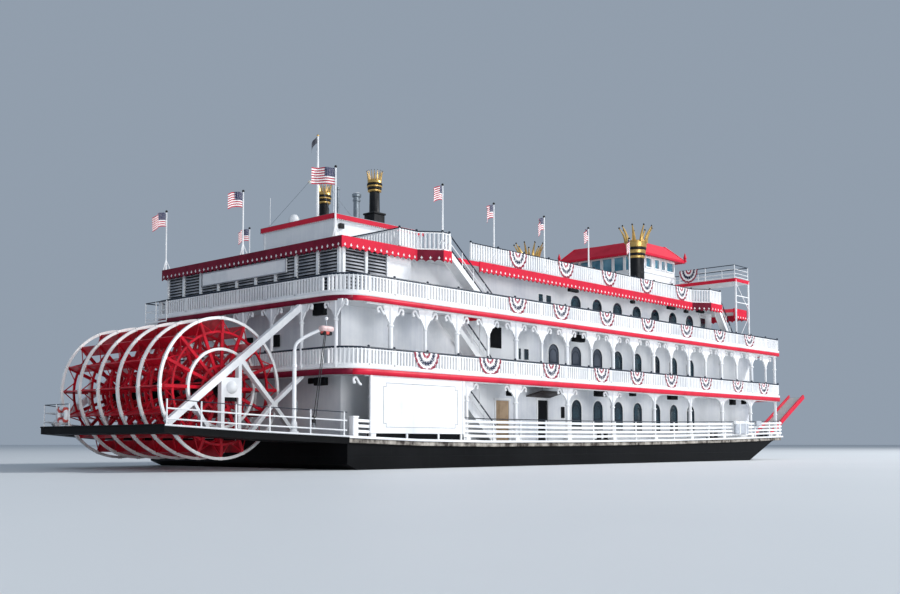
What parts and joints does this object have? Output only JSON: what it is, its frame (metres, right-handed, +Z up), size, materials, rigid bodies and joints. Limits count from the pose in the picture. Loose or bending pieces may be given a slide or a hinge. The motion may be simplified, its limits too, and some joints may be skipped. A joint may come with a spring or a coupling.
{
  "type": "half-scale model of a stern-wheel paddle steamer",
  "caption": "Decked flat-bottomed hull with a stern paddle wheel, promenades on three levels, roof deck, pilothouse, crowned stacks, hinged landing stage and davit.",
  "frame": {"origin": "middle of the lowest face of the whole model, under the hull's flat bottom", "axes": "+X forward to the bow, +Y to port, +Z up"},
  "size_m": [32.954, 9.4, 11.15],
  "materials": {
    "hull_black": "semi-gloss marine enamel",
    "deck_grey": "matt deck paint",
    "house_white": "semi-gloss enamel",
    "band_red": "gloss enamel",
    "wheel_red": "wet gloss enamel",
    "louvre_grey": "matt paint",
    "stack_black": "satin heat-resistant paint",
    "window_glass": "tinted, polished",
    "door_tan": "satin paint"
  },
  "bodies": {
    "ship": {"hull": "hull_black", "main_deck": "deck_grey", "fantail_guard": "hull_black", "second_deck": "band_red", "third_deck": "band_red", "roof_deck": "band_red", "main_house": "house_white", "saloon_house": "house_white", "texas_house": "house_white", "louvre_room": "louvre_grey", "columns_main_starboard": "house_white", "columns_second_starboard": "house_white", "columns_main_port": "house_white", "columns_second_port": "house_white", "rail_main_starboard": "house_white", "rail_main_port": "house_white", "rail_main_bow": "house_white", "rail_fantail_starboard": "house_white", "rail_fantail_port": "house_white", "balustrade_second_aft": "house_white", "balustrade_second_forward": "house_white", "balustrade_second_starboard": "house_white", "balustrade_second_port": "house_white", "balustrade_third_aft": "house_white", "balustrade_third_forward": "house_white", "balustrade_third_starboard": "house_white", "balustrade_third_port": "house_white", "roof_rail_aft": "house_white", "roof_rail_starboard": "house_white", "roof_rail_port": "house_white", "stairs_starboard": "house_white", "stairs_forward_starboard": "house_white", "stairs_port": "house_white", "stairs_forward_port": "house_white", "wheel_truss_starboard": "house_white", "wheel_truss_port": "house_white", "stack_aft_starboard": "stack_black", "stack_forward_starboard": "stack_black", "stack_aft_port": "stack_black", "stack_forward_port": "stack_black", "roof_house": "house_white", "pilothouse": "house_white", "pilothouse_glass": "window_glass", "pilothouse_roof": "band_red", "bridge_wing": "house_white"},
    "wheel": {"wheel_ring_1": "house_white", "wheel_ring_2": "house_white", "wheel_ring_3": "house_white", "wheel_ring_4": "house_white", "wheel_ring_5": "house_white", "wheel_ring_6": "house_white", "wheel_rotor": "wheel_red"},
    "rudder_starboard": {"rudder_starboard": "hull_black"},
    "rudder_port": {"rudder_port": "hull_black"},
    "stage": {"stage": "band_red"},
    "main_door_starboard": {"main_door_starboard": "door_tan"},
    "main_door_port": {"main_door_port": "door_tan"},
    "texas_door_starboard": {"texas_door_starboard": "house_white"},
    "texas_door_port": {"texas_door_port": "house_white"},
    "davit": {"davit": "house_white"}
  },
  "joints": [
    {"name": "wheel_spin", "type": "hinge", "parent": "ship", "child": "wheel", "pos_m": [-14.427, 0, 3], "axis": [0, 1, 0], "continuous": true},
    {"name": "rudder_starboard_turn", "type": "hinge", "parent": "ship", "child": "rudder_starboard", "pos_m": [-11.477, -1.5, 0.5], "axis": [0, 0, 1], "range_deg": [-35, 35]},
    {"name": "rudder_port_turn", "type": "hinge", "parent": "ship", "child": "rudder_port", "pos_m": [-11.477, 1.5, 0.5], "axis": [0, 0, 1], "range_deg": [-35, 35]},
    {"name": "stage_hoist", "type": "hinge", "parent": "ship", "child": "stage", "pos_m": [13.073, -3.75, 1.96], "axis": [0, -1, 0], "range_deg": [-37, 45]},
    {"name": "main_door_starboard_swing", "type": "hinge", "parent": "ship", "child": "main_door_starboard", "pos_m": [-4.127, -3.465, 2], "axis": [0, 0, 1], "range_deg": [0, 95]},
    {"name": "main_door_port_swing", "type": "hinge", "parent": "ship", "child": "main_door_port", "pos_m": [-4.127, 3.465, 2], "axis": [0, 0, -1], "range_deg": [0, 95]},
    {"name": "texas_door_starboard_swing", "type": "hinge", "parent": "ship", "child": "texas_door_starboard", "pos_m": [8.073, -3.465, 6], "axis": [0, 0, -1], "range_deg": [0, 95]},
    {"name": "texas_door_port_swing", "type": "hinge", "parent": "ship", "child": "texas_door_port", "pos_m": [8.073, 3.465, 6], "axis": [0, 0, 1], "range_deg": [0, 95]},
    {"name": "davit_slew", "type": "hinge", "parent": "ship", "child": "davit", "pos_m": [-13.327, -4, 2], "axis": [0, 0, -1], "range_deg": [0, 110]}
  ],
  "couplings": [
    {"joint": "rudder_port_turn", "follows": "rudder_starboard_turn", "ratio": 1}
  ]
}
